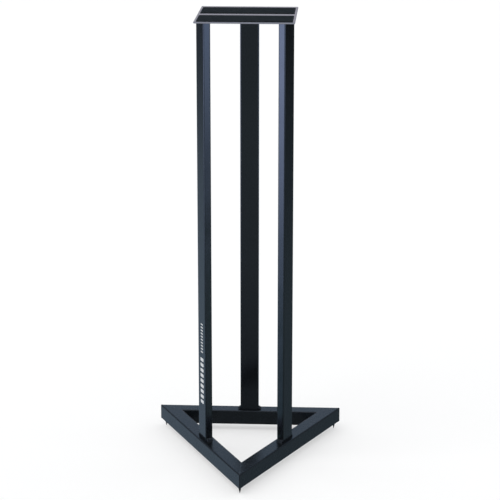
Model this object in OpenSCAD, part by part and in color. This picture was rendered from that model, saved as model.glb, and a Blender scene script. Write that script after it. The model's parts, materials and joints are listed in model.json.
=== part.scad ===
// Fixed-height loudspeaker stand: a triangular base of square tube on three screwed
// floor spikes, three rectangular-tube columns and a flat platform with two rubber strips.
// Origin on the floor, under the middle of the base. +Z is up and the single front
// corner of the base points to -Y. Left and right are as seen from that front corner.

/* [Base] */
// Width across the two rear corners, measured to where the outer faces would meet
base_w = 500; // [460:5:600]
// Depth from the front corner to the rear face, measured to the same sharp corner
base_d = 510; // [480:5:620]
// Side of the square rail tube
rail_size = 40; // [38:1:44]
// Wall thickness of the rail tube
rail_wall = 2; // [1.5:0.5:2.5]
// Outer radius of the rail tube's long edges
rail_edge_r = 3; // [3:0.5:4]
// Depth of the flat ground on each welded outer corner
corner_flat = 2; // [1:0.5:3]

/* [Columns] */
// Length of each column
column_len = 1112; // [700:1:1300]
// Wide side of the column tube
column_w = 50; // [40:1:60]
// Narrow side of the column tube
column_t = 20; // [18:1:25]
// Wall thickness of the column tube
column_wall = 1.5; // [1:0.5:2]
// Outer radius of the column tube's long edges
column_edge_r = 3; // [2.5:0.5:4]
// Distance of a side column's middle from the front corner, along its rail
column_pos = 279; // [276:1:280]

/* [Platform] */
// Width of the steel plate
plate_w = 254; // [254:1:320]
// Depth of the steel plate
plate_d = 280; // [270:1:286]
// Thickness of the steel plate
plate_t = 4; // [3:0.5:6]
// Radius of the plate's corners
plate_corner_r = 2; // [1:0.5:6]
// Distance from the base's front corner back to the plate's front edge
plate_front = 224; // [210:1:224]
// Width of each rubber strip
strip_w = 243; // [200:1:248]
// Depth of each rubber strip
strip_d = 98; // [60:1:110]
// Thickness of each rubber strip
strip_t = 2; // [1.5:0.5:4]
// Corner radius of each rubber strip
strip_corner_r = 1.5; // [1:0.5:5]
// Bare steel in front of the front strip
strip_margin = 12; // [5:1:20]
// Bare steel between the two strips
strip_gap = 44; // [20:1:50]

/* [Floor spikes] */
// Height of the base's underside above the floor with the spikes as stored
spike_out = 17.5; // [17:0.5:22]
// Nominal thread diameter of a spike
spike_d = 6; // [5:1:6]
// Length of the cone that ends a spike
cone_len = 12; // [8:1:12]
// Overall length of a spike
spike_len = 34; // [30:1:36]
// Diameter of the blunted point
spike_tip_d = 0.8; // [0.6:0.1:1.5]
// Distance of a spike from its sharp base corner, along the corner's bisector
spike_inset = 20; // [20:1:24]

/* [Rivet nuts] */
// Outside diameter of the rivet nut's body
nut_d = 9; // [8.5:0.5:9]
// Length of the body above its flange
nut_len = 18; // [14:1:20]
// Diameter of the flange under the rail
nut_flange_d = 13; // [12:0.5:14]
// Thickness of the flange
nut_flange_t = 1; // [0.8:0.1:1.2]
// Diameter of the collar that setting the nut swells above the tube wall
nut_collar_d = 12; // [11:0.5:12]
// Height of that collar
nut_collar_t = 3; // [2:0.5:4]

/* [Welds] */
// Leg of the fillet beads across the foot of a column
bead_leg = 7; // [3:0.5:7]
// Length of those beads across a column's narrow face
bead_len = 17; // [14:0.5:17.5]
// Leg of the beads under the plate
top_bead_leg = 4.5; // [3:0.5:6]
// Length of the beads under the plate
top_bead_len = 40; // [20:1:43]
// Leg of the upright fillet inside a base corner
corner_weld_leg = 8.5; // [5:0.5:10]

/* [Hidden] */
$fn = 64;

// Radial clearance of a screwed spike in its nut, and of a nut in its hole
fit_gap = 0.05;
// How far cutting shapes run past what they cut
over = 5;
// Least inside radius of a tube's edges
min_inner_r = 0.5;

// Plan of the base: the side rails' angle from the rear rail, and the angles inside
side_angle = atan2(base_d, base_w / 2);
front_angle = 180 - 2 * side_angle;
rear_angle = side_angle;
side_len = norm([base_w / 2, base_d]);

// The ground front corner falls short of the sharp one, and the origin is midway
// between the ground corner and the rear face
rear_y = (base_d - corner_flat) / 2;
front_y = rear_y - base_d;

// Heights
rail_bottom = spike_out;
rail_top = rail_bottom + rail_size;
plate_bottom = rail_top + column_len;
plate_top = plate_bottom + plate_t;

// Middle of a column across its rail, from the rail's outer face
column_y = rail_size / 2;

// Middles of the rubber strips
strip_front_y = front_y + plate_front + strip_margin + strip_d / 2;
strip_rear_y = strip_front_y + strip_d + strip_gap;

coat = [0.15, 0.18, 0.22];
bead = [0.19, 0.22, 0.26];
rubber = [0.06, 0.07, 0.07];
black_zinc = [0.09, 0.09, 0.10];
zinc = [0.62, 0.62, 0.58];

// ---- Frames -------------------------------------------------------------------------

// A rail's own frame: X along its outer face from one sharp corner to the next, and
// Y inwards
module on_right_rail() { translate([0, front_y, 0]) rotate(side_angle) children(); }
module on_rear_rail() { translate([base_w / 2, rear_y, 0]) rotate(180) children(); }
module on_left_rail() { translate([-base_w / 2, rear_y, 0]) rotate(-side_angle) children(); }

// A corner's own frame: X inwards along the bisector from the sharp corner
module at_front_corner() { translate([0, front_y, 0]) rotate(90) children(); }
module at_right_corner() {
    translate([base_w / 2, rear_y, 0]) rotate(180 + rear_angle / 2) children();
}
module at_left_corner() { translate([-base_w / 2, rear_y, 0]) rotate(-rear_angle / 2) children(); }

// A column's own frame: on the rail's top, at distance x along the rail
module at_column(x) { translate([x, column_y, rail_top]) children(); }

// ---- Sections -----------------------------------------------------------------------

// Rectangle centred on the origin with true round corners
module round_rect(w, d, r) {
    square([w - 2 * r, d], center = true);
    square([w, d - 2 * r], center = true);
    for (x = [-1, 1], y = [-1, 1]) {
        translate([x * (w / 2 - r), y * (d / 2 - r)]) circle(r);
    }
}

// Wall of a rectangular tube
module tube_section(w, d, wall, r) {
    difference() {
        round_rect(w, d, r);
        round_rect(w - 2 * wall, d - 2 * wall, max(r - wall, min_inner_r));
    }
}

// ---- Base ---------------------------------------------------------------------------

// Where the flat ground on a corner of angle a meets the line at depth y into the rail
function flat_x(a, y) = (corner_flat - y * sin(a / 2)) / cos(a / 2);

// Plan of a mitred rail in its own frame. The mitres are the bisectors of the corner
// angles a and b, and the flats are square to them
module rail_plan(len, a, b) {
    deep = rail_size + over;
    polygon([
        [flat_x(a, -over), -over],
        [len - flat_x(b, -over), -over],
        [len - corner_flat * cos(b / 2), corner_flat * sin(b / 2)],
        [len - deep / tan(b / 2), deep],
        [deep / tan(a / 2), deep],
        [corner_flat * cos(a / 2), corner_flat * sin(a / 2)]
    ]);
}

// Hole in the base's underside that a rivet nut is set in
module nut_hole() {
    translate([spike_inset, 0, rail_bottom - over]) cylinder(r = nut_d / 2 + fit_gap, h = rail_wall + 2 * over);
}

// A mitred rail in its own frame, with a half hole at each end
module rail(len, a, b) {
    color(coat) difference() {
        intersection() {
            translate([0, rail_size / 2, rail_bottom + rail_size / 2]) rotate([90, 0, 90])
                linear_extrude(len) tube_section(rail_size, rail_size, rail_wall, rail_edge_r);
            translate([0, 0, rail_bottom - over])
                linear_extrude(rail_size + 2 * over) rail_plan(len, a, b);
        }
        rotate(a / 2) nut_hole();
        translate([len, 0, 0]) rotate(180 - b / 2) nut_hole();
    }
}

module base_rail_rear() { on_rear_rail() rail(base_w, rear_angle, rear_angle); }
module base_rail_left() { on_left_rail() rail(side_len, rear_angle, front_angle); }
module base_rail_right() { on_right_rail() rail(side_len, front_angle, rear_angle); }

// Upright fillet in the crook of a corner that has angle a between its rails
module corner_weld(a) {
    crook = rail_size / sin(a / 2);
    reach = corner_weld_leg * cos(a / 2);
    half = corner_weld_leg * sin(a / 2);
    color(bead) translate([crook, 0, rail_bottom + rail_edge_r])
        linear_extrude(rail_size - 2 * rail_edge_r) polygon([[0, 0], [reach, -half], [reach, half]]);
}

module base_corner_weld_front() { at_front_corner() corner_weld(front_angle); }
module base_corner_weld_left() { at_left_corner() corner_weld(rear_angle); }
module base_corner_weld_right() { at_right_corner() corner_weld(rear_angle); }

// ---- Columns ------------------------------------------------------------------------

module column(x) {
    color(coat) at_column(x)
        linear_extrude(column_len) tube_section(column_w, column_t, column_wall, column_edge_r);
}

module column_rear() { on_rear_rail() column(base_w / 2); }
module column_left() { on_left_rail() column(side_len - column_pos); }
module column_right() { on_right_rail() column(column_pos); }

// Quarter-round bead along Y, in the corner between the XY and YZ planes
module fillet_bead(leg, len) {
    rotate([90, 0, 0]) linear_extrude(len, center = true) intersection() {
        circle(leg);
        square(leg);
    }
}

// Beads across both narrow faces of a column's foot
module foot_weld(x) {
    color(bead) at_column(x) for (side = [0, 1])
        mirror([side, 0, 0]) translate([column_w / 2, 0, 0]) fillet_bead(bead_leg, bead_len);
}

// Bead under the plate, along a column's wide face: 1 for its inner face, -1 for its outer
module top_weld(x, side) {
    color(bead) at_column(x) translate([0, side * column_t / 2, column_len])
        rotate(side * 90) mirror([0, 0, 1]) fillet_bead(top_bead_leg, top_bead_len);
}

module column_foot_weld_rear() { on_rear_rail() foot_weld(base_w / 2); }
module column_foot_weld_left() { on_left_rail() foot_weld(side_len - column_pos); }
module column_foot_weld_right() { on_right_rail() foot_weld(column_pos); }
module column_top_weld_rear() { on_rear_rail() top_weld(base_w / 2, -1); }
module column_top_weld_left() { on_left_rail() top_weld(side_len - column_pos, 1); }
module column_top_weld_right() { on_right_rail() top_weld(column_pos, 1); }

// ---- Platform -----------------------------------------------------------------------

module top_plate() {
    color(coat) translate([0, front_y + plate_front + plate_d / 2, plate_bottom])
        linear_extrude(plate_t) round_rect(plate_w, plate_d, plate_corner_r);
}

module rubber_strip(y) {
    color(rubber) translate([0, y, plate_top])
        linear_extrude(strip_t) round_rect(strip_w, strip_d, strip_corner_r);
}

module rubber_strip_front() { rubber_strip(strip_front_y); }
module rubber_strip_rear() { rubber_strip(strip_rear_y); }

// ---- Floor spikes -------------------------------------------------------------------

// Point down on the floor, with the thread as a plain shank of its nominal diameter
module spike() {
    color(black_zinc) translate([spike_inset, 0, 0]) rotate_extrude() polygon([
        [0, 0], [spike_tip_d / 2, 0], [spike_d / 2, cone_len], [spike_d / 2, spike_len], [0, spike_len]
    ]);
}

module floor_spike_front() { at_front_corner() spike(); }
module floor_spike_left() { at_left_corner() spike(); }
module floor_spike_right() { at_right_corner() spike(); }

// Blind rivet nut set in the tube wall: flange under it, swollen collar above it
module rivet_nut() {
    color(zinc) translate([spike_inset, 0, rail_bottom]) difference() {
        union() {
            translate([0, 0, -nut_flange_t]) cylinder(d = nut_flange_d, h = nut_flange_t);
            cylinder(d = nut_d, h = nut_len);
            translate([0, 0, rail_wall]) cylinder(d = nut_collar_d, h = nut_collar_t);
        }
        translate([0, 0, -over]) cylinder(r = spike_d / 2 + fit_gap, h = nut_len + 2 * over);
    }
}

module spike_rivet_nut_front() { at_front_corner() rivet_nut(); }
module spike_rivet_nut_left() { at_left_corner() rivet_nut(); }
module spike_rivet_nut_right() { at_right_corner() rivet_nut(); }

// ---- Assembly -----------------------------------------------------------------------

base_rail_rear();
base_rail_left();
base_rail_right();
base_corner_weld_front();
base_corner_weld_left();
base_corner_weld_right();
column_rear();
column_left();
column_right();
column_foot_weld_rear();
column_foot_weld_left();
column_foot_weld_right();
column_top_weld_rear();
column_top_weld_left();
column_top_weld_right();
top_plate();
rubber_strip_front();
rubber_strip_rear();
floor_spike_front();
floor_spike_left();
floor_spike_right();
spike_rivet_nut_front();
spike_rivet_nut_left();
spike_rivet_nut_right();
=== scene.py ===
"""The looks of a fixed-height loudspeaker stand: a welded triangular base on three floor
spikes, three tube columns and a platform with two ribbed rubber strips.

Everything is in metres in the CAD model's own frame. Sizes and places come from the frame's
boxes. The few that a box can't give are named here, or just above what uses them."""

import json
import math

import bpy
from mathutils import Matrix, Vector


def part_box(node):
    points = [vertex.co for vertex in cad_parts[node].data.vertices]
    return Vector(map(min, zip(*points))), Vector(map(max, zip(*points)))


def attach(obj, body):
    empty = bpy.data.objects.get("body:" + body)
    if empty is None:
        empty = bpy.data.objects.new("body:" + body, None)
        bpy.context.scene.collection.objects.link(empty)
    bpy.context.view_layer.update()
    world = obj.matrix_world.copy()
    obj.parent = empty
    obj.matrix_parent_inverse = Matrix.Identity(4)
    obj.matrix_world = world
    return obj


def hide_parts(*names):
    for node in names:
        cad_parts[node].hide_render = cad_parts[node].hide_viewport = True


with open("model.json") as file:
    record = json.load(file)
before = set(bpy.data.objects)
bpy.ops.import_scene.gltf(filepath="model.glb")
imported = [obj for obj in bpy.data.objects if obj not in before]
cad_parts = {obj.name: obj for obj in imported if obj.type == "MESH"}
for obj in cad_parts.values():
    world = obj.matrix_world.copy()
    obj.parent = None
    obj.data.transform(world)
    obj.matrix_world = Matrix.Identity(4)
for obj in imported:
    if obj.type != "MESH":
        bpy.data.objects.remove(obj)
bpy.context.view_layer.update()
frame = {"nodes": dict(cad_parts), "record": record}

MM = 0.001

# ---- Sizes ----------------------------------------------------------------------------

# Rails and welds: outer edge radius, the corners' ground flat, the welds' legs and lengths,
# and the wall of the tube
RAIL_EDGE_R = 3 * MM
CORNER_FLAT = 2 * MM
BEAD_LEG = 7 * MM
BEAD_LEN = 17 * MM
TOP_BEAD_LEG = 4.5 * MM
TOP_BEAD_LEN = 40 * MM
CORNER_WELD_LEG = 8.5 * MM
RAIL_WALL = 2 * MM

# Spike and rivet nut
SPIKE_R = 3 * MM
SPIKE_TIP_R = 0.4 * MM
CONE_LEN = 12 * MM
THREAD_PITCH = 1 * MM
THREAD_DEPTH = 0.54 * MM
NUT_R = 4.5 * MM
NUT_FLANGE_T = 1 * MM
NUT_COLLAR_R = 6 * MM
NUT_COLLAR_T = 3 * MM
NUT_BORE_R = 3.05 * MM
NUT_BEVEL = 0.3 * MM
NUT_TOP_BEVEL = 0.4 * MM

# ---- Places, from the frame --------------------------------------------------------------

rear_low, rear_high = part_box("base_rail_rear")
left_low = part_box("base_rail_left")[0]
RAIL_BOTTOM = rear_low.z
RAIL_TOP = rear_high.z
RAIL_SIZE = RAIL_TOP - RAIL_BOTTOM
PLATE_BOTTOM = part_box("top_plate")[0].z


def spike_axis(corner):
    """Middle of a corner's spike, on the floor."""
    low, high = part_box("floor_spike_" + corner)
    return Vector(((low.x + high.x) / 2, (low.y + high.y) / 2, 0))


# The side rails' angle from the rear rail, and the angle inside each corner. The two rear
# spikes and the front one are as far in along their bisectors, which gives the sharp corners
FRONT_SPIKE = spike_axis("front")
RIGHT_SPIKE = spike_axis("right")
SPIKE_IN = FRONT_SPIKE.y - left_low.y + CORNER_FLAT
FRONT_CORNER = Vector((0, FRONT_SPIKE.y - SPIKE_IN, 0))
REAR_DEPTH = rear_high.y - RIGHT_SPIKE.y
REAR_HALF = math.asin(REAR_DEPTH / SPIKE_IN)
SIDE_ANGLE = 2 * REAR_HALF
FRONT_HALF = math.pi / 2 - SIDE_ANGLE
RIGHT_CORNER = RIGHT_SPIKE + SPIKE_IN * Vector((math.cos(REAR_HALF), math.sin(REAR_HALF), 0))


def place(point, angle):
    """Matrix of a frame that stands at a point and is turned about +Z."""
    return Matrix.Translation(point) @ Matrix.Rotation(angle, 4, "Z")


# Corner frames: X inwards along the bisector, from the sharp corner, and half the angle
CORNERS = {
    "front": (place(FRONT_CORNER, math.pi / 2), FRONT_HALF),
    "right": (place(RIGHT_CORNER, math.pi + REAR_HALF), REAR_HALF),
    "left": (place(Vector((-RIGHT_CORNER.x, RIGHT_CORNER.y, 0)), -REAR_HALF), REAR_HALF),
}


def column_frame(name):
    """Frame at the middle of a column's foot: X along its wide side, the rail's direction."""
    low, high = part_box("column_" + name)
    turn = {"rear": math.pi, "left": -SIDE_ANGLE, "right": SIDE_ANGLE}[name]
    return place(Vector(((low.x + high.x) / 2, (low.y + high.y) / 2, RAIL_TOP)), turn)


COLUMN_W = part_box("column_rear")[1].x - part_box("column_rear")[0].x
COLUMN_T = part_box("column_rear")[1].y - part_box("column_rear")[0].y

# ---- Mesh helpers ------------------------------------------------------------------------


def link_mesh(name, verts, faces, smooth_angle=35):
    """New mesh object at the origin, smooth except across edges sharper than the angle."""
    mesh = bpy.data.meshes.new(name)
    mesh.from_pydata([tuple(v) for v in verts], [], faces)
    mesh.validate()
    mesh.shade_smooth()
    mesh.set_sharp_from_angle(angle=math.radians(smooth_angle))
    obj = bpy.data.objects.new(name, mesh)
    bpy.context.scene.collection.objects.link(obj)
    return obj


def loft(rings):
    """Vertices and faces of a closed solid through rings of equal length, with flat ends.
    Each ring runs anticlockwise as seen from beyond the last one."""
    count = len(rings[0])
    verts = [point for ring in rings for point in ring]
    faces = [list(range(count))[::-1]]
    for r in range(len(rings) - 1):
        a, b = r * count, (r + 1) * count
        for i in range(count):
            j = (i + 1) % count
            faces.append([a + i, a + j, b + j, b + i])
    last = (len(rings) - 1) * count
    faces.append([last + i for i in range(count)])
    return verts, faces


def lathe(profile, steps):
    """Rings of a solid of revolution about +Z, from its (radius, height) outline."""
    turns = [2 * math.pi * i / steps for i in range(steps)]
    rings = []
    for radius, height in profile:
        rings.append([Vector((radius * math.cos(t), radius * math.sin(t), height)) for t in turns])
    return rings


def joined(name, solids, matrix=Matrix.Identity(4), finishes=None):
    """One object out of several (verts, faces) solids, moved by a matrix. The finishes give
    each solid the number of its material."""
    verts, faces, numbers = [], [], []
    for k, (some_verts, some_faces) in enumerate(solids):
        start = len(verts)
        verts += [matrix @ Vector(v) for v in some_verts]
        faces += [[start + i for i in face] for face in some_faces]
        numbers += [finishes[k] if finishes else 0] * len(some_faces)
    obj = link_mesh(name, verts, faces)
    obj.data.polygons.foreach_set("material_index", numbers)
    return obj


def moved(solid, matrix):
    """A (verts, faces) solid moved by a matrix that doesn't mirror it."""
    verts, faces = solid
    return [matrix @ Vector(v) for v in verts], faces


# ---- Materials -------------------------------------------------------------------------


class Shader:
    """A material under construction: short calls that add nodes and join them."""

    def __init__(self, name):
        self.material = bpy.data.materials.new(name)
        self.material.use_nodes = True
        self.tree = self.material.node_tree
        self.surface = self.tree.nodes["Principled BSDF"]
        self.coords = self.tree.nodes.new("ShaderNodeTexCoord").outputs["Object"]

    def add(self, kind, inputs=None, **settings):
        """New node. Its inputs are set to numbers, or joined to other nodes' sockets."""
        node = self.tree.nodes.new(kind)
        for key, value in settings.items():
            setattr(node, key, value)
        for key, value in (inputs or {}).items():
            if isinstance(value, bpy.types.NodeSocket):
                self.tree.links.new(value, node.inputs[key])
            else:
                node.inputs[key].default_value = value
        return node

    def noise(self, size, detail=3, roughness=0.5):
        """Noise whose blotches are about size metres across."""
        inputs = {"Vector": self.coords, "Scale": 1 / size, "Detail": detail, "Roughness": roughness}
        return self.add("ShaderNodeTexNoise", inputs).outputs["Fac"]

    def between(self, factor, low, high, start=0.3, stop=0.7):
        """A number that follows a factor from low, at start, to high, at stop."""
        inputs = {"Value": factor, "From Min": start, "From Max": stop, "To Min": low, "To Max": high}
        return self.add("ShaderNodeMapRange", inputs, clamp=True).outputs["Result"]

    def mix(self, factor, a, b):
        """A colour from a to b as the factor goes from 0 to 1. Each is a socket or a triple."""
        node = self.add("ShaderNodeMix", {0: factor}, data_type="RGBA")
        for index, color in ((6, a), (7, b)):
            if isinstance(color, bpy.types.NodeSocket):
                self.tree.links.new(color, node.inputs[index])
            else:
                node.inputs[index].default_value = (*color, 1)
        return node.outputs[2]

    def math(self, operation, a, b):
        """The result of a Math node."""
        return self.add("ShaderNodeMath", {0: a, 1: b}, operation=operation).outputs[0]

    def bump(self, height, depth, under=None):
        """A normal bumped by a height, on top of the bumps under it."""
        inputs = {"Height": height, "Distance": depth, "Strength": 1.0}
        if under:
            inputs["Normal"] = under
        return self.add("ShaderNodeBump", inputs).outputs["Normal"]

    def finish(self, color, roughness=None, normal=None, **fixed):
        """Joins the results to the surface. Fixed numbers go on the shader's own sockets."""
        for key, socket in (("Base Color", color), ("Roughness", roughness), ("Normal", normal)):
            if socket:
                self.tree.links.new(socket, self.surface.inputs[key])
        for key, value in fixed.items():
            self.surface.inputs[key.replace("_", " ")].default_value = value
        return self.material


def powder_coat(name, dark, light, gloss_range, peel, edge=None):
    """Blue-black satin powder coat: orange peel, a fine grain, and uneven tone and gloss.
    On upright faces, such as a plate's edge, it takes the edge colour: a painted highlight that stands
    for the bright room which the edge reflects."""
    s = Shader(name)
    cloud = s.noise(0.16, detail=4)
    grain = s.noise(0.9 * MM, detail=2)
    tone = s.mix(s.between(cloud, 0, 1), dark, light)
    tone = s.mix(s.between(grain, 0, 0.35, 0.5, 0.8), tone, tuple(2 * c for c in light))
    # Painted highlight: faces that stand upright take the pale edge colour, in place of the reflection
    # that they would catch
    if edge:
        normal = s.add("ShaderNodeNewGeometry").outputs["Normal"]
        slope = s.math("ABSOLUTE", s.add("ShaderNodeSeparateXYZ", {"Vector": normal}).outputs["Z"], 0)
        tone = s.mix(s.between(slope, 1, 0, 0.35, 0.9), tone, edge)
    gloss = s.between(s.noise(0.05, detail=5), *gloss_range)
    gloss = s.math("ADD", gloss, s.between(grain, 0, 0.03))
    normal = s.bump(s.noise(1.6 * MM, detail=1), peel)
    normal = s.bump(s.noise(0.35 * MM, detail=2), peel * 0.12, under=normal)
    return s.finish(tone, gloss, normal, IOR=1.5)


def ribbed_rubber():
    """Matte black rubber with a pebbled skin and a little pale dust in it."""
    s = Shader("strip_rubber")
    cloud = s.noise(0.03, detail=5, roughness=0.6)
    skin = s.noise(0.6 * MM, detail=3, roughness=0.6)
    tone = s.mix(s.between(cloud, 0, 1), (0.0062, 0.0080, 0.0088), (0.0090, 0.0115, 0.0125))
    specks = s.between(s.noise(0.5 * MM, detail=1), 0, 0.45, 0.68, 0.8)
    tone = s.mix(specks, tone, (0.030, 0.032, 0.031))
    gloss = s.between(skin, 0.62, 0.85)
    normal = s.bump(skin, 0.08 * MM)
    return s.finish(tone, gloss, normal, Specular_IOR_Level=0.2)


def turned_steel(name, dark, light, ring, gloss_range, stain):
    """Plated steel, turned: fine rings about +Z, and plating that varies in patches."""
    s = Shader(name)
    rings = s.add("ShaderNodeTexWave", {
        "Vector": s.coords, "Scale": 1 / (ring * math.pi), "Distortion": 0.6, "Detail": 2,
    }, wave_type="BANDS", bands_direction="Z").outputs["Fac"]
    patches = s.add("ShaderNodeTexVoronoi", {"Vector": s.coords, "Scale": 1 / stain}).outputs["Color"]
    shade = s.add("ShaderNodeSeparateColor", {"Color": patches}).outputs["Red"]
    cloud = s.noise(stain * 2, detail=4)
    mottle = s.math("ADD", cloud, s.math("MULTIPLY", shade, 0.25))
    tone = s.mix(s.between(mottle, 0, 1, 0.35, 0.85), dark, light)
    gloss = s.between(cloud, *gloss_range)
    normal = s.bump(rings, 0.012 * MM)
    return s.finish(tone, gloss, normal, Metallic=0.9)


def screen_ink():
    """Off-white screen-printed ink, a little worn."""
    s = Shader("screen_ink")
    worn = s.between(s.noise(0.8 * MM, detail=4, roughness=0.7), 0, 0.7, 0.62, 0.78)
    tone = s.mix(worn, (0.62, 0.64, 0.65), (0.16, 0.17, 0.18))
    gloss = s.between(s.noise(2 * MM), 0.42, 0.6)
    return s.finish(tone, gloss, s.bump(s.noise(0.4 * MM), 0.02 * MM))


COAT_DARK = (0.0022, 0.0028, 0.0036)
COAT_LIGHT = (0.0038, 0.0048, 0.0062)
# Pale lavender painted highlight for the plate's upright edge, standing in for a reflection of the
# bright room
PAINTED_EDGE_HIGHLIGHT = (0.205, 0.212, 0.255)
# Lighter tone for the ground seams at the corners: a painted highlight, standing in for the thin line of
# light that the seams catch
PAINTED_SEAM_HIGHLIGHT = (0.030, 0.036, 0.044)
COAT = (COAT_DARK, COAT_LIGHT)
SEAM_HIGHLIGHT_COAT = (COAT_LIGHT, PAINTED_SEAM_HIGHLIGHT)
PAINT = powder_coat("powder_coat", *COAT, (0.11, 0.17), 0.03 * MM)
RAIL_PAINT = powder_coat("powder_coat_on_rails", *COAT, (0.21, 0.27), 0.04 * MM)
WELD_PAINT = powder_coat("powder_coat_on_weld", *COAT, (0.09, 0.15), 0.04 * MM)
SEAM_PAINT = powder_coat("powder_coat_with_painted_seam_highlight", *SEAM_HIGHLIGHT_COAT, (0.18, 0.28), 0.05 * MM)
PLATE_PAINT = powder_coat("powder_coat_on_plate", *COAT, (0.10, 0.15), 0.03 * MM, PAINTED_EDGE_HIGHLIGHT)
RUBBER = ribbed_rubber()
ZINC_DARK = (0.42, 0.41, 0.38)
ZINC_LIGHT = (0.62, 0.61, 0.57)
ZINC = turned_steel("zinc_plate", ZINC_DARK, ZINC_LIGHT, 0.25 * MM, (0.26, 0.42), 2.5 * MM)
BLACK_DARK = (0.006, 0.006, 0.007)
BLACK_LIGHT = (0.018, 0.018, 0.021)
BLACK_ZINC = turned_steel("black_zinc", BLACK_DARK, BLACK_LIGHT, 0.2 * MM, (0.24, 0.38), 3 * MM)
INK = screen_ink()

FINISHES = {
    "black_powder_coat": PAINT,
    "painted_weld": WELD_PAINT,
    "rubber_strip": RUBBER,
    "black_zinc_steel": BLACK_ZINC,
    "zinc_steel": ZINC,
}
for part in frame["record"]["subparts"]:
    finish = FINISHES[part["material_slot"]]
    if part["node"].startswith("base_rail"):
        finish = RAIL_PAINT
    for material_slot in frame["nodes"][part["node"]].material_slots:
        material_slot.material = finish


def dress(obj, material, body, slot_name, *nodes):
    """Gives a piece its material and body, and hides the nodes that it stands for. The slot name is not
    used.
    """
    obj.data.materials.append(material)
    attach(obj, body)
    if nodes:
        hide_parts(*nodes)


# ---- Welds -----------------------------------------------------------------------------

BEAD_STEP = 0.3 * MM
ARC_STEPS = 12
# A bead's ends: the length that they are rounded over, and their share of its size
END_ROUND = 1.6 * MM
END_SIZE = 0.55
# Ripples and lumps cut into the face by these shares of its reach
RIPPLE_PITCH = 2.3 * MM
RIPPLE_DEPTH = 0.13
LUMP_DEPTH = 0.05
LUMP_LENGTHS = (2.1 * MM, 3.7 * MM)
# How full the faces of the beads and of the corner welds are, as weld_bead takes it
BEAD_ROUNDNESS = 0.9
CORNER_ROUNDNESS = 0.12


def weld_bead(length, leg, half, roundness):
    """Fillet bead along +Y, in a crook whose apex is the Y axis and whose faces stand at the
    angles -half and +half from +X. Roundness 0 makes its face flat and 1 a full round. Its
    face has the crescent ripples of a hand weld."""
    short, long = LUMP_LENGTHS
    rings = []
    count = round(length / BEAD_STEP)
    for k in range(count + 1):
        y = (k / count - 0.5) * length
        to_end = min(y + length / 2, length / 2 - y)
        end = math.sqrt(max(0, 1 - (1 - min(1, to_end / END_ROUND)) ** 2))
        size = leg * (END_SIZE + (1 - END_SIZE) * end)
        ring = [Vector((0, y, 0))]
        for i in range(ARC_STEPS + 1):
            phi = half * (2 * i / ARC_STEPS - 1)
            flat = math.cos(half) / math.cos(phi)
            reach = size * (roundness + (1 - roundness) * flat)
            crescent = y / RIPPLE_PITCH + 0.5 * (phi / half) ** 2
            lumps = LUMP_DEPTH * math.sin(y / short + 1) * math.sin(y / long + 2.5 * phi)
            edge = 1 - (phi / half) ** 4
            ripple = RIPPLE_DEPTH * (0.5 + 0.5 * math.sin(2 * math.pi * crescent))
            reach *= 1 - edge * (ripple + abs(lumps))
            ring.append(Vector((reach * math.cos(phi), y, reach * math.sin(phi))))
        rings.append(ring[::-1])
    return loft(rings)


def upright(solid, height):
    """A bead along +Y turned to run along +Z about a height, its crook still facing +X."""
    return moved(solid, Matrix.Translation((0, 0, height)) @ Matrix.Rotation(math.pi / 2, 4, "X"))


SEAM_HALF_WIDTH = 1.5 * MM
SEAM_PROUD = 0.22 * MM
SEAM_SUNK = 0.4 * MM
# The seam ends this far in from the ground flat
SEAM_STOP = 0.35 * MM
# The seam's face: places across it, and how proud it stands there
SEAM_FACE = ((-0.75, 0.35), (-0.35, 0.9), (0, 1), (0.35, 0.9), (0.75, 0.35))
# How much of the corner's width the seam may take where it runs out into the flat
SEAM_SHARE = 0.85


def edge_drop(depth):
    """How far a rail's rounded edge lies below its top at a depth from its outer face."""
    return RAIL_EDGE_R - math.sqrt(RAIL_EDGE_R ** 2 - (RAIL_EDGE_R - depth) ** 2)


def edge_lean(depth):
    """How far the rounded edge's normal leans out there, as a sine."""
    return (RAIL_EDGE_R - depth) / RAIL_EDGE_R


def seam_path(half):
    """Outline of the mitre across a rail, in the corner's XZ plane, from the crook's top edge
    over to the ground flat: X, Z and the sine of the outward normal's lean towards +X."""
    crook = RAIL_SIZE / math.sin(half)
    path = []
    edge_steps = 6
    for i in range(edge_steps + 1):
        depth = RAIL_EDGE_R * (1 - math.cos(math.pi / 2 * (0.25 + 0.75 * i / edge_steps)))
        path.append((crook - depth / math.sin(half), RAIL_TOP - edge_drop(depth), edge_lean(depth)))
    top_steps = 40
    inner, outer = path[-1][0], RAIL_EDGE_R / math.sin(half)
    for i in range(1, top_steps):
        path.append((inner + (outer - inner) * i / top_steps, RAIL_TOP, 0))
    for i in range(edge_steps + 1):
        x = outer + (CORNER_FLAT + SEAM_STOP - outer) * i / edge_steps
        depth = x * math.sin(half)
        path.append((x, RAIL_TOP - edge_drop(depth), -edge_lean(depth)))
    return path


def mitre_seam(half, below):
    """Ground weld over the top of a mitre, or under it: a low strip that still stands a
    little proud, with faint ripples."""
    rings = []
    middle = (RAIL_TOP + RAIL_BOTTOM) / 2
    for k, (x, z, lean) in enumerate(seam_path(half)):
        normal = Vector((lean, 0, math.sqrt(1 - lean ** 2)))
        proud = SEAM_PROUD * (0.8 + 0.2 * math.sin(k * 1.9))
        width = min(SEAM_HALF_WIDTH, SEAM_SHARE * x * math.tan(half))
        section = [(side, share * proud) for side, share in SEAM_FACE]
        section = [(-1, -SEAM_SUNK), *section, (1, -SEAM_SUNK)]
        rings.append([Vector((x, side * width, z)) + normal * height for side, height in section])
    if below:
        rings = [[Vector((v.x, v.y, 2 * middle - v.z)) for v in ring[::-1]] for ring in rings]
    return loft(rings)


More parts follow.
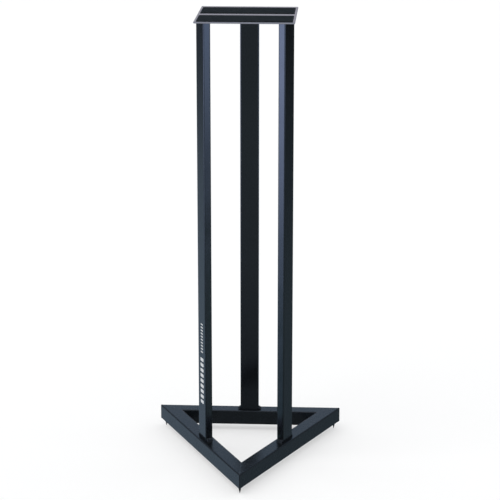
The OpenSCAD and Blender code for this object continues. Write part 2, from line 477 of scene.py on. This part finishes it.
# The ground weld on a corner's outer edge: how far in from the sharp corner its arc lies, its
# uneven swell, how its ends stop short and shrink, and how far back it is buried
GROUND_REACH = 0.8 * CORNER_FLAT
GROUND_SWELL = 0.02 * MM
GROUND_MARGIN = 0.6 * MM
GROUND_END = 1.2 * MM
GROUND_END_SIZE = 0.35
GROUND_BACK = 0.3 * MM


def ground_corner(half):
    """Upright rounded weld that closes the outer edge of a corner over the ground flat."""
    radius = GROUND_REACH / (1 / math.sin(half) - 1)
    centre = radius / math.sin(half)
    swing = math.pi / 2 - half
    low, high = RAIL_BOTTOM + GROUND_MARGIN, RAIL_TOP - GROUND_MARGIN
    steps = 60
    turns = 8
    rings = []
    for k in range(steps + 1):
        z = low + (high - low) * k / steps
        to_end = min(z - low, high - z)
        growth = math.sqrt(min(1, to_end / GROUND_END))
        shrink = min(1, GROUND_END_SIZE + (1 - GROUND_END_SIZE) * growth)
        swell = GROUND_SWELL * (1 + math.sin(k * 0.9))
        ring = [Vector((centre + GROUND_BACK, 0, z))]
        for i in range(turns + 1):
            turn = math.pi + swing * (1 - 2 * i / turns)
            out = (radius + swell * math.sin(math.pi * i / turns)) * shrink
            ring.append(Vector((centre + out * math.cos(turn), out * math.sin(turn), z)))
        rings.append(ring[::-1])
    return loft(rings)


for corner, (matrix, half) in CORNERS.items():
    crook = RAIL_SIZE / math.sin(half)
    height = RAIL_SIZE - 2 * RAIL_EDGE_R
    fillet = weld_bead(height, CORNER_WELD_LEG, half, CORNER_ROUNDNESS)
    fillet = upright(fillet, (RAIL_TOP + RAIL_BOTTOM) / 2)
    solids = [
        moved(fillet, Matrix.Translation((crook, 0, 0))),
        mitre_seam(half, below=False),
        mitre_seam(half, below=True),
    ]
    # The front corner's flat already lies on the frame's box, so no weld goes over it
    if corner != "front":
        solids.append(ground_corner(half))
    # The two seams take the second material, whose lighter tone is a painted highlight
    weld = joined("corner_weld_" + corner, solids, matrix, finishes=(0, 1, 1, 0))
    dress(weld, WELD_PAINT, "frame", "painted_weld", "base_corner_weld_" + corner)
    weld.data.materials.append(SEAM_PAINT)

for column in ("rear", "left", "right"):
    bead = moved(
        weld_bead(BEAD_LEN, BEAD_LEG, math.pi / 4, BEAD_ROUNDNESS),
        Matrix.Translation((COLUMN_W / 2, 0, 0)) @ Matrix.Rotation(-math.pi / 4, 4, "Y"),
    )
    both = [bead, moved(bead, Matrix.Rotation(math.pi, 4, "Z"))]
    foot = joined("foot_weld_" + column, both, column_frame(column))
    dress(foot, WELD_PAINT, "frame", "painted_weld", "column_foot_weld_" + column)
    # The bead under the plate is on the wide face that looks inwards, or backwards
    under = Matrix.Rotation(math.pi / 2, 4, "Z") @ Matrix.Rotation(math.pi / 4, 4, "Y")
    top_bead = moved(weld_bead(TOP_BEAD_LEN, TOP_BEAD_LEG, math.pi / 4, BEAD_ROUNDNESS), under)
    side, turn = (-1, math.pi) if column == "rear" else (1, 0)
    spot = Matrix.Translation((0, side * COLUMN_T / 2, PLATE_BOTTOM - RAIL_TOP))
    spot = spot @ Matrix.Rotation(turn, 4, "Z")
    top = joined("top_weld_" + column, [moved(top_bead, spot)], column_frame(column))
    dress(top, WELD_PAINT, "frame", "painted_weld", "column_top_weld_" + column)

# ---- Platform --------------------------------------------------------------------------


def rounded_outline(width, depth, radius, steps=6):
    """Anticlockwise outline of a rectangle with round corners, centred on the origin."""
    points = []
    for quarter, (sx, sy) in enumerate(((1, 1), (-1, 1), (-1, -1), (1, -1))):
        for i in range(steps + 1):
            turn = math.pi / 2 * (quarter + i / steps)
            points.append(Vector((
                sx * (width / 2 - radius) + radius * math.cos(turn),
                sy * (depth / 2 - radius) + radius * math.sin(turn),
                0,
            )))
    return points


# The plate: rounding of its edges and of its corners, and the flat border inside them
PLATE_SOFT = 0.9 * MM
PLATE_CORNER_R = 2.2 * MM
PLATE_BORDER = 0.5 * MM
PLATE_BORDER_R = 0.3 * MM


def plate_piece():
    """The steel plate, with softened edges."""
    low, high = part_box("top_plate")
    width, depth = high.x - low.x, high.y - low.y
    middle = Vector(((low.x + high.x) / 2, (low.y + high.y) / 2, 0))
    steps = 5
    rings = []
    for end in (0, 1):
        for i in range(steps + 1):
            turn = math.pi / 2 * (i / steps if end else 1 - i / steps)
            inset = PLATE_SOFT * (1 - math.cos(turn))
            rise = PLATE_SOFT * (1 - math.sin(turn))
            z = high.z - rise if end else low.z + rise
            outline = rounded_outline(width - 2 * inset, depth - 2 * inset, PLATE_CORNER_R - inset)
            rings.append([p + middle + Vector((0, 0, z)) for p in outline])
    # A narrow flat border on both faces keeps their shading flat
    inset = PLATE_SOFT + PLATE_BORDER
    border = rounded_outline(width - 2 * inset, depth - 2 * inset, PLATE_BORDER_R)
    rings.insert(0, [p + middle + Vector((0, 0, low.z)) for p in border])
    rings.append([p + middle + Vector((0, 0, high.z)) for p in border])
    verts, faces = loft(rings)
    return link_mesh("platform_plate", verts, faces, 30)


dress(plate_piece(), PLATE_PAINT, "frame", "black_powder_coat", "top_plate")

# The strips' ribs, flat border and bevelled rim. An exponent below 1 widens a rib's crest
RIB_COUNT = 28
RIB_HEIGHT = 0.7 * MM
RIB_EXPONENT = 0.6
STRIP_BORDER = 2 * MM
STRIP_BEVEL = 0.4 * MM


def strip_outline(depth):
    """Top of a strip from its front edge to its rear: distance from the front edge, height of
    the rib there from 0 to 1, and how far the edge is rounded down."""
    pitch = (depth - 2 * STRIP_BORDER) / RIB_COUNT
    steps = 8
    outline = [(0, 0, STRIP_BEVEL), (STRIP_BEVEL, 0, 0)]
    for i in range(RIB_COUNT * steps + 1):
        wave = 0.5 - 0.5 * math.cos(2 * math.pi * (i / steps % 1))
        outline.append((STRIP_BORDER + i / steps * pitch, wave ** RIB_EXPONENT, 0))
    outline += [(depth - STRIP_BEVEL, 0, 0), (depth, 0, STRIP_BEVEL)]
    return outline


def strip_piece(name):
    """Rubber strip with ribs from left to right and moulded-down ends."""
    low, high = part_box("rubber_strip_" + name)
    outline = strip_outline(high.y - low.y)
    base = high.z - RIB_HEIGHT
    # Sections from an end inwards: distance, share of the ribs' height, and drop
    ends = ((0, 0, 0.5 * MM), (0.5 * MM, 0, 0), (STRIP_BORDER, 0, 0), (STRIP_BORDER + MM, 1, 0))
    sections = [(low.x + inset, share, drop) for inset, share, drop in ends]
    sections += [(high.x - inset, share, drop) for inset, share, drop in ends[::-1]]
    rings = []
    for x, share, drop in sections:
        ring = [Vector((x, low.y, low.z)), Vector((x, high.y, low.z))]
        for y, wave, bevel in outline[::-1]:
            ring.append(Vector((x, low.y + y, base - bevel - drop + RIB_HEIGHT * wave * share)))
        rings.append(ring)
    verts, faces = loft(rings)
    return link_mesh("ribbed_strip_" + name, verts, faces, 40)


for name in ("front", "rear"):
    dress(strip_piece(name), RUBBER, "frame", "rubber_strip", "rubber_strip_" + name)

# ---- Spikes and rivet nuts ---------------------------------------------------------------

# The blunted tip: its height, how flat it is, and the angles that its round is drawn at
TIP_H = 0.4 * MM
TIP_FLATNESS = 0.6
TIP_TURNS = (0.15, 0.5, 0.9, 1.25)
# The thread starts above the cone, deepens, and ends in a chamfer at the top
THREAD_GAP = 0.6 * MM
THREAD_RUN_OUT = 1.2 * MM
LEAD_LEN = 0.8 * MM
LEAD_DEPTH = 0.7 * MM
# Shares of the pitch: half of a groove's flat root, and a flank
ROOT_SHARE = 0.06
FLANK_SHARE = 0.36


def spike_piece(corner):
    """Floor spike: a blunted cone and an M6 thread that runs out above it."""
    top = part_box("floor_spike_" + corner)[1].z
    steps = 48
    profile = []
    for turn in TIP_TURNS:
        profile.append((SPIKE_TIP_R * math.sin(turn), SPIKE_TIP_R * TIP_FLATNESS * (1 - math.cos(turn))))
    cone_steps = 14
    for i in range(cone_steps + 1):
        share = i / cone_steps
        radius = SPIKE_TIP_R + (SPIKE_R - SPIKE_TIP_R) * share
        profile.append((radius, TIP_H + (CONE_LEN - TIP_H) * share))
    rings = lathe(profile, steps)
    rise = THREAD_PITCH / 8
    count = round((top - CONE_LEN) / rise)
    for k in range(1, count + 1):
        z = CONE_LEN + (top - CONE_LEN) * k / count
        into = min(1, max(0, (z - CONE_LEN - THREAD_GAP) / THREAD_RUN_OUT))
        lead = max(0, 1 - (top - z) / LEAD_LEN)
        ring = []
        for i in range(steps):
            turn = 2 * math.pi * i / steps
            phase = (z / THREAD_PITCH - i / steps) % 1
            crest = max(0, min(1, (abs(phase - 0.5) - ROOT_SHARE) / FLANK_SHARE))
            thread = THREAD_DEPTH * (1 - crest) * into
            radius = SPIKE_R - max(thread, LEAD_DEPTH * lead)
            ring.append(Vector((radius * math.cos(turn), radius * math.sin(turn), z)))
        rings.append(ring)
    return joined("spike_" + corner, [loft(rings)], Matrix.Translation(spike_axis(corner)))


def nut_piece(corner):
    """Rivet nut: flange with a soft edge, straight body, and the collar that setting swells."""
    low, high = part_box("spike_rivet_nut_" + corner)
    flange_r = (high.x - low.x) / 2
    flange_top = low.z + NUT_FLANGE_T
    wall_top = flange_top + RAIL_WALL
    bore_mouth = NUT_BORE_R + NUT_BEVEL
    profile = [(NUT_BORE_R, low.z + NUT_BEVEL), (bore_mouth, low.z), (flange_r - NUT_BEVEL, low.z)]
    for turn in (0.5, 1.0, 1.57):
        radius = flange_r - NUT_BEVEL * (1 - math.sin(turn))
        profile.append((radius, low.z + NUT_BEVEL * (1 - math.cos(turn))))
    profile += [(flange_r, flange_top), (NUT_R, flange_top), (NUT_R, wall_top)]
    swell = 10
    for i in range(1, swell):
        share = i / swell
        bulge = math.sin(math.pi * share) ** 0.7
        profile.append((NUT_R + (NUT_COLLAR_R - NUT_R) * bulge, wall_top + NUT_COLLAR_T * share))
    profile += [(NUT_R, wall_top + NUT_COLLAR_T), (NUT_R, high.z - NUT_TOP_BEVEL)]
    profile += [(NUT_R - NUT_TOP_BEVEL, high.z), (bore_mouth, high.z), (NUT_BORE_R, high.z - NUT_BEVEL)]
    steps = 64
    rings = lathe(profile, steps)
    verts = [v for ring in rings for v in ring]
    faces = []
    for r in range(len(rings)):
        a, b = r * steps, (r + 1) % len(rings) * steps
        for i in range(steps):
            j = (i + 1) % steps
            faces.append([a + i, a + j, b + j, b + i])
    return joined("rivet_nut_" + corner, [(verts, faces)], Matrix.Translation(spike_axis(corner)))


for corner in CORNERS:
    spike = spike_piece(corner)
    dress(spike, BLACK_ZINC, "spike_" + corner, "black_zinc_steel", "floor_spike_" + corner)
    dress(nut_piece(corner), ZINC, "frame", "zinc_steel", "spike_rivet_nut_" + corner)

# ---- Printed mark ------------------------------------------------------------------------

# Two runs of plain bars up the left column's outer face: lowest and highest point above the
# floor, number of bars, and each bar's width and share of its run's pitch
MARK_RUNS = (
    (0.154, 0.285, 9, 21 * MM, 0.62),
    (0.295, 0.379, 10, 14 * MM, 0.42),
)
MARK_OFFSET = 2 * MM
INK_SUNK = 0.05 * MM
INK_PROUD = 0.06 * MM


def mark_piece():
    """Plain printed mark: rounded bars, with no letters or figures."""
    face = -COLUMN_T / 2
    solids = []
    for start, stop, count, width, share in MARK_RUNS:
        pitch = (stop - start) / count
        outline = rounded_outline(width, share * pitch, 0.3 * share * pitch, 4)
        for k in range(count):
            middle = Vector((MARK_OFFSET, 0, start + (k + 0.5) * pitch - RAIL_TOP))
            rings = []
            for lift in (-INK_SUNK, INK_PROUD):
                rings.append([middle + Vector((-p.x, face - lift, p.y)) for p in outline][::-1])
            solids.append(loft(rings))
    return joined("printed_mark", solids, column_frame("left"))


dress(mark_piece(), INK, "frame", "black_powder_coat")

# ---- Floor, light and camera ---------------------------------------------------------------

# Half the floor's side, and how strongly it glows
FLOOR_HALF = 60.0
FLOOR_GLOW = 0.5


def make_floor():
    """Plain pale floor, clear from below. It glows, as a light table does, which keeps
    shadows faint. It stays out of the stand's reflections, which the soft boxes make."""
    corners = [(-FLOOR_HALF, -FLOOR_HALF, 0), (FLOOR_HALF, -FLOOR_HALF, 0),
               (FLOOR_HALF, FLOOR_HALF, 0), (-FLOOR_HALF, FLOOR_HALF, 0)]
    floor = link_mesh("floor", corners, [[0, 1, 2, 3]])
    s = Shader("floor")
    tone = s.mix(s.noise(0.8, detail=2), (0.47, 0.47, 0.47), (0.48, 0.48, 0.48))
    glow = {"Emission_Color": (1, 1, 1, 1), "Emission_Strength": FLOOR_GLOW}
    material = s.finish(tone, Roughness=0.9, Specular_IOR_Level=0.1, **glow)
    below = s.add("ShaderNodeNewGeometry").outputs["Backfacing"]
    clear = s.add("ShaderNodeBsdfTransparent").outputs["BSDF"]
    mixed = s.add("ShaderNodeMixShader", {0: below, 1: s.surface.outputs["BSDF"], 2: clear})
    s.tree.links.new(mixed.outputs[0], s.tree.nodes["Material Output"].inputs["Surface"])
    floor.data.materials.append(material)
    floor.visible_glossy = False


# Soft boxes round the stand, as patches of the world that only reflections see: middle
# azimuth from +Y towards +X, half widths where each is full and where it ends, elevations
# where it starts, is full, is still full and ends, all in degrees, and its colour. A half
# width of 180 goes all round
SOFT_BOXES = (
    ((0, 180, 181), (6, 14, 45, 70), (0.10, 0.145, 0.21)),
    ((0, 26, 44), (6, 14, 45, 70), (0.095, 0.145, 0.20)),
    ((0, 180, 181), (2, 7, 10, 15), (0.32, 0.30, 0.34)),
    ((0, 26, 44), (2, 7, 10, 15), (0.36, 0.335, 0.37)),
    ((-47, 24, 42), (-33, -18, -16, -5), (0.20, 0.26, 0.35)),
    ((0, 130, 152), (-60, -45, -18, -7), (0.105, 0.158, 0.20)),
    ((132, 12, 28), (-15, -7.5, 0, 8), (2.1, 2.8, 4.4)),
    ((-126, 14, 30), (-17.5, -9.8, 0, 8), (3.5, 4.35, 6.9)),
    ((180, 18, 32), (-22, -16.5, 5, 12), (0.28, 0.36, 0.43)),
    ((132, 16, 34), (-23, -20.5, -16, -12), (0.15, 0.24, 0.24)),
    ((-126, 16, 34), (-25, -22, -16, -12), (0.13, 0.28, 0.36)),
    ((180, 40, 60), (10, 20, 34, 48), (0.30, 0.36, 0.44)),
    ((106, 22, 38), (48, 55, 62, 68), (0.5, 0.65, 0.85)),
    ((-106, 22, 38), (48, 55, 62, 68), (0.5, 0.65, 0.85)),
    ((0, 18, 34), (-30, -20, -5, 0), (0.20, 0.24, 0.30)),
)
# A broad box overhead: elevations where it starts and is full, and its colour
OVERHEAD = ((45, 75), (1.1, 1.25, 1.5))
AMBIENT = (0.03, 0.035, 0.04)
DIFFUSE_LIGHT = (0.92, 0.93, 0.94)


def make_world():
    """White for what lights the floor and for the backdrop, soft boxes for reflections."""
    world = bpy.data.worlds.new("studio")
    bpy.context.scene.world = world
    world.use_nodes = True
    tree = world.node_tree
    tree.nodes.clear()

    def add(kind, inputs=None, **settings):
        node = tree.nodes.new(kind)
        for key, value in settings.items():
            setattr(node, key, value)
        for key, value in (inputs or {}).items():
            if isinstance(value, bpy.types.NodeSocket):
                tree.links.new(value, node.inputs[key])
            else:
                node.inputs[key].default_value = value
        return node

    def number(operation, a, b):
        return add("ShaderNodeMath", {0: a, 1: b}, operation=operation).outputs[0]

    def step(value, start, stop):
        inputs = {"Value": value, "From Min": start, "From Max": stop, "To Min": 0.0, "To Max": 1.0}
        return add("ShaderNodeMapRange", inputs, interpolation_type="SMOOTHSTEP").outputs["Result"]

    def scaled(color, factor):
        return add("ShaderNodeVectorMath", {0: color, "Scale": factor}, operation="SCALE").outputs[0]

    def summed(a, b):
        return add("ShaderNodeVectorMath", {0: a, 1: b}, operation="ADD").outputs[0]

    direction = add("ShaderNodeTexCoord").outputs["Generated"]
    height = add("ShaderNodeSeparateXYZ", {"Vector": direction}).outputs["Z"]
    level = add("ShaderNodeVectorMath", {0: direction, 1: (1, 1, 0)}, operation="MULTIPLY").outputs[0]
    level = add("ShaderNodeVectorMath", {0: level}, operation="NORMALIZE").outputs[0]

    boxes = AMBIENT
    for (azimuth, full, end), (start, low, high, stop), color in SOFT_BOXES:
        middle = (math.sin(math.radians(azimuth)), math.cos(math.radians(azimuth)), 0)
        across = add("ShaderNodeVectorMath", {0: level, 1: middle}, operation="DOT_PRODUCT")
        share = 1.0
        if full < 180:
            edges = math.cos(math.radians(end)), math.cos(math.radians(full))
            share = step(across.outputs["Value"], *edges)
        rising = step(height, math.sin(math.radians(start)), math.sin(math.radians(low)))
        falling = step(height, math.sin(math.radians(stop)), math.sin(math.radians(high)))
        share = number("MULTIPLY", share, number("MULTIPLY", rising, falling))
        boxes = summed(boxes, scaled(color, share))
    (start, full), color = OVERHEAD
    above = step(height, math.sin(math.radians(start)), math.sin(math.radians(full)))
    boxes = summed(boxes, scaled(color, above))

    path = add("ShaderNodeLightPath")
    lighting = add("ShaderNodeMix", {0: path.outputs["Is Glossy Ray"]}, data_type="RGBA")
    lighting.inputs[6].default_value = (*DIFFUSE_LIGHT, 1)
    tree.links.new(boxes, lighting.inputs[7])
    seen = add("ShaderNodeMix", {0: path.outputs["Is Camera Ray"]}, data_type="RGBA")
    tree.links.new(lighting.outputs[2], seen.inputs[6])
    seen.inputs[7].default_value = (1, 1, 1, 1)
    background = add("ShaderNodeBackground", {"Color": seen.outputs[2]})
    output = add("ShaderNodeOutputWorld")
    tree.links.new(background.outputs[0], output.inputs[0])


# The key light's strength, its width in degrees, its colour, and the way to it
KEY_STRENGTH = 0.60
KEY_WIDTH = 38
KEY_COLOR = (1.0, 0.985, 0.96)
KEY_FROM = (-0.5, -0.42, 0.9)


def make_key_light():
    """One broad soft light from the front left, for a soft shadow on the floor. The paint
    doesn't mirror it: the soft boxes do that."""
    light = bpy.data.lights.new("key", "SUN")
    light.energy = KEY_STRENGTH
    light.angle = math.radians(KEY_WIDTH)
    light.color = KEY_COLOR
    lamp = bpy.data.objects.new("key", light)
    lamp.rotation_euler = Vector(KEY_FROM).to_track_quat("Z", "Y").to_euler()
    lamp.visible_glossy = False
    bpy.context.scene.collection.objects.link(lamp)


# Camera: where it stands, its heading and tilt in degrees, and its lens
CAMERA_PLACE = (0.267, -4.756, 1.887)
CAMERA_HEADING = 3.054
CAMERA_TILT = 15.37
CAMERA_LENS = 137.56


def make_camera():
    """A plain camera, with no shift and no depth of field."""
    data = bpy.data.cameras.new("camera")
    data.sensor_width = 36
    data.lens = CAMERA_LENS
    data.clip_end = 200
    camera = bpy.data.objects.new("camera", data)
    camera.location = CAMERA_PLACE
    camera.rotation_euler = (math.radians(90 - CAMERA_TILT), 0, math.radians(CAMERA_HEADING))
    bpy.context.scene.collection.objects.link(camera)
    bpy.context.scene.camera = camera


make_floor()
make_world()
make_key_light()
make_camera()
bpy.context.scene.view_settings.view_transform = "Standard"
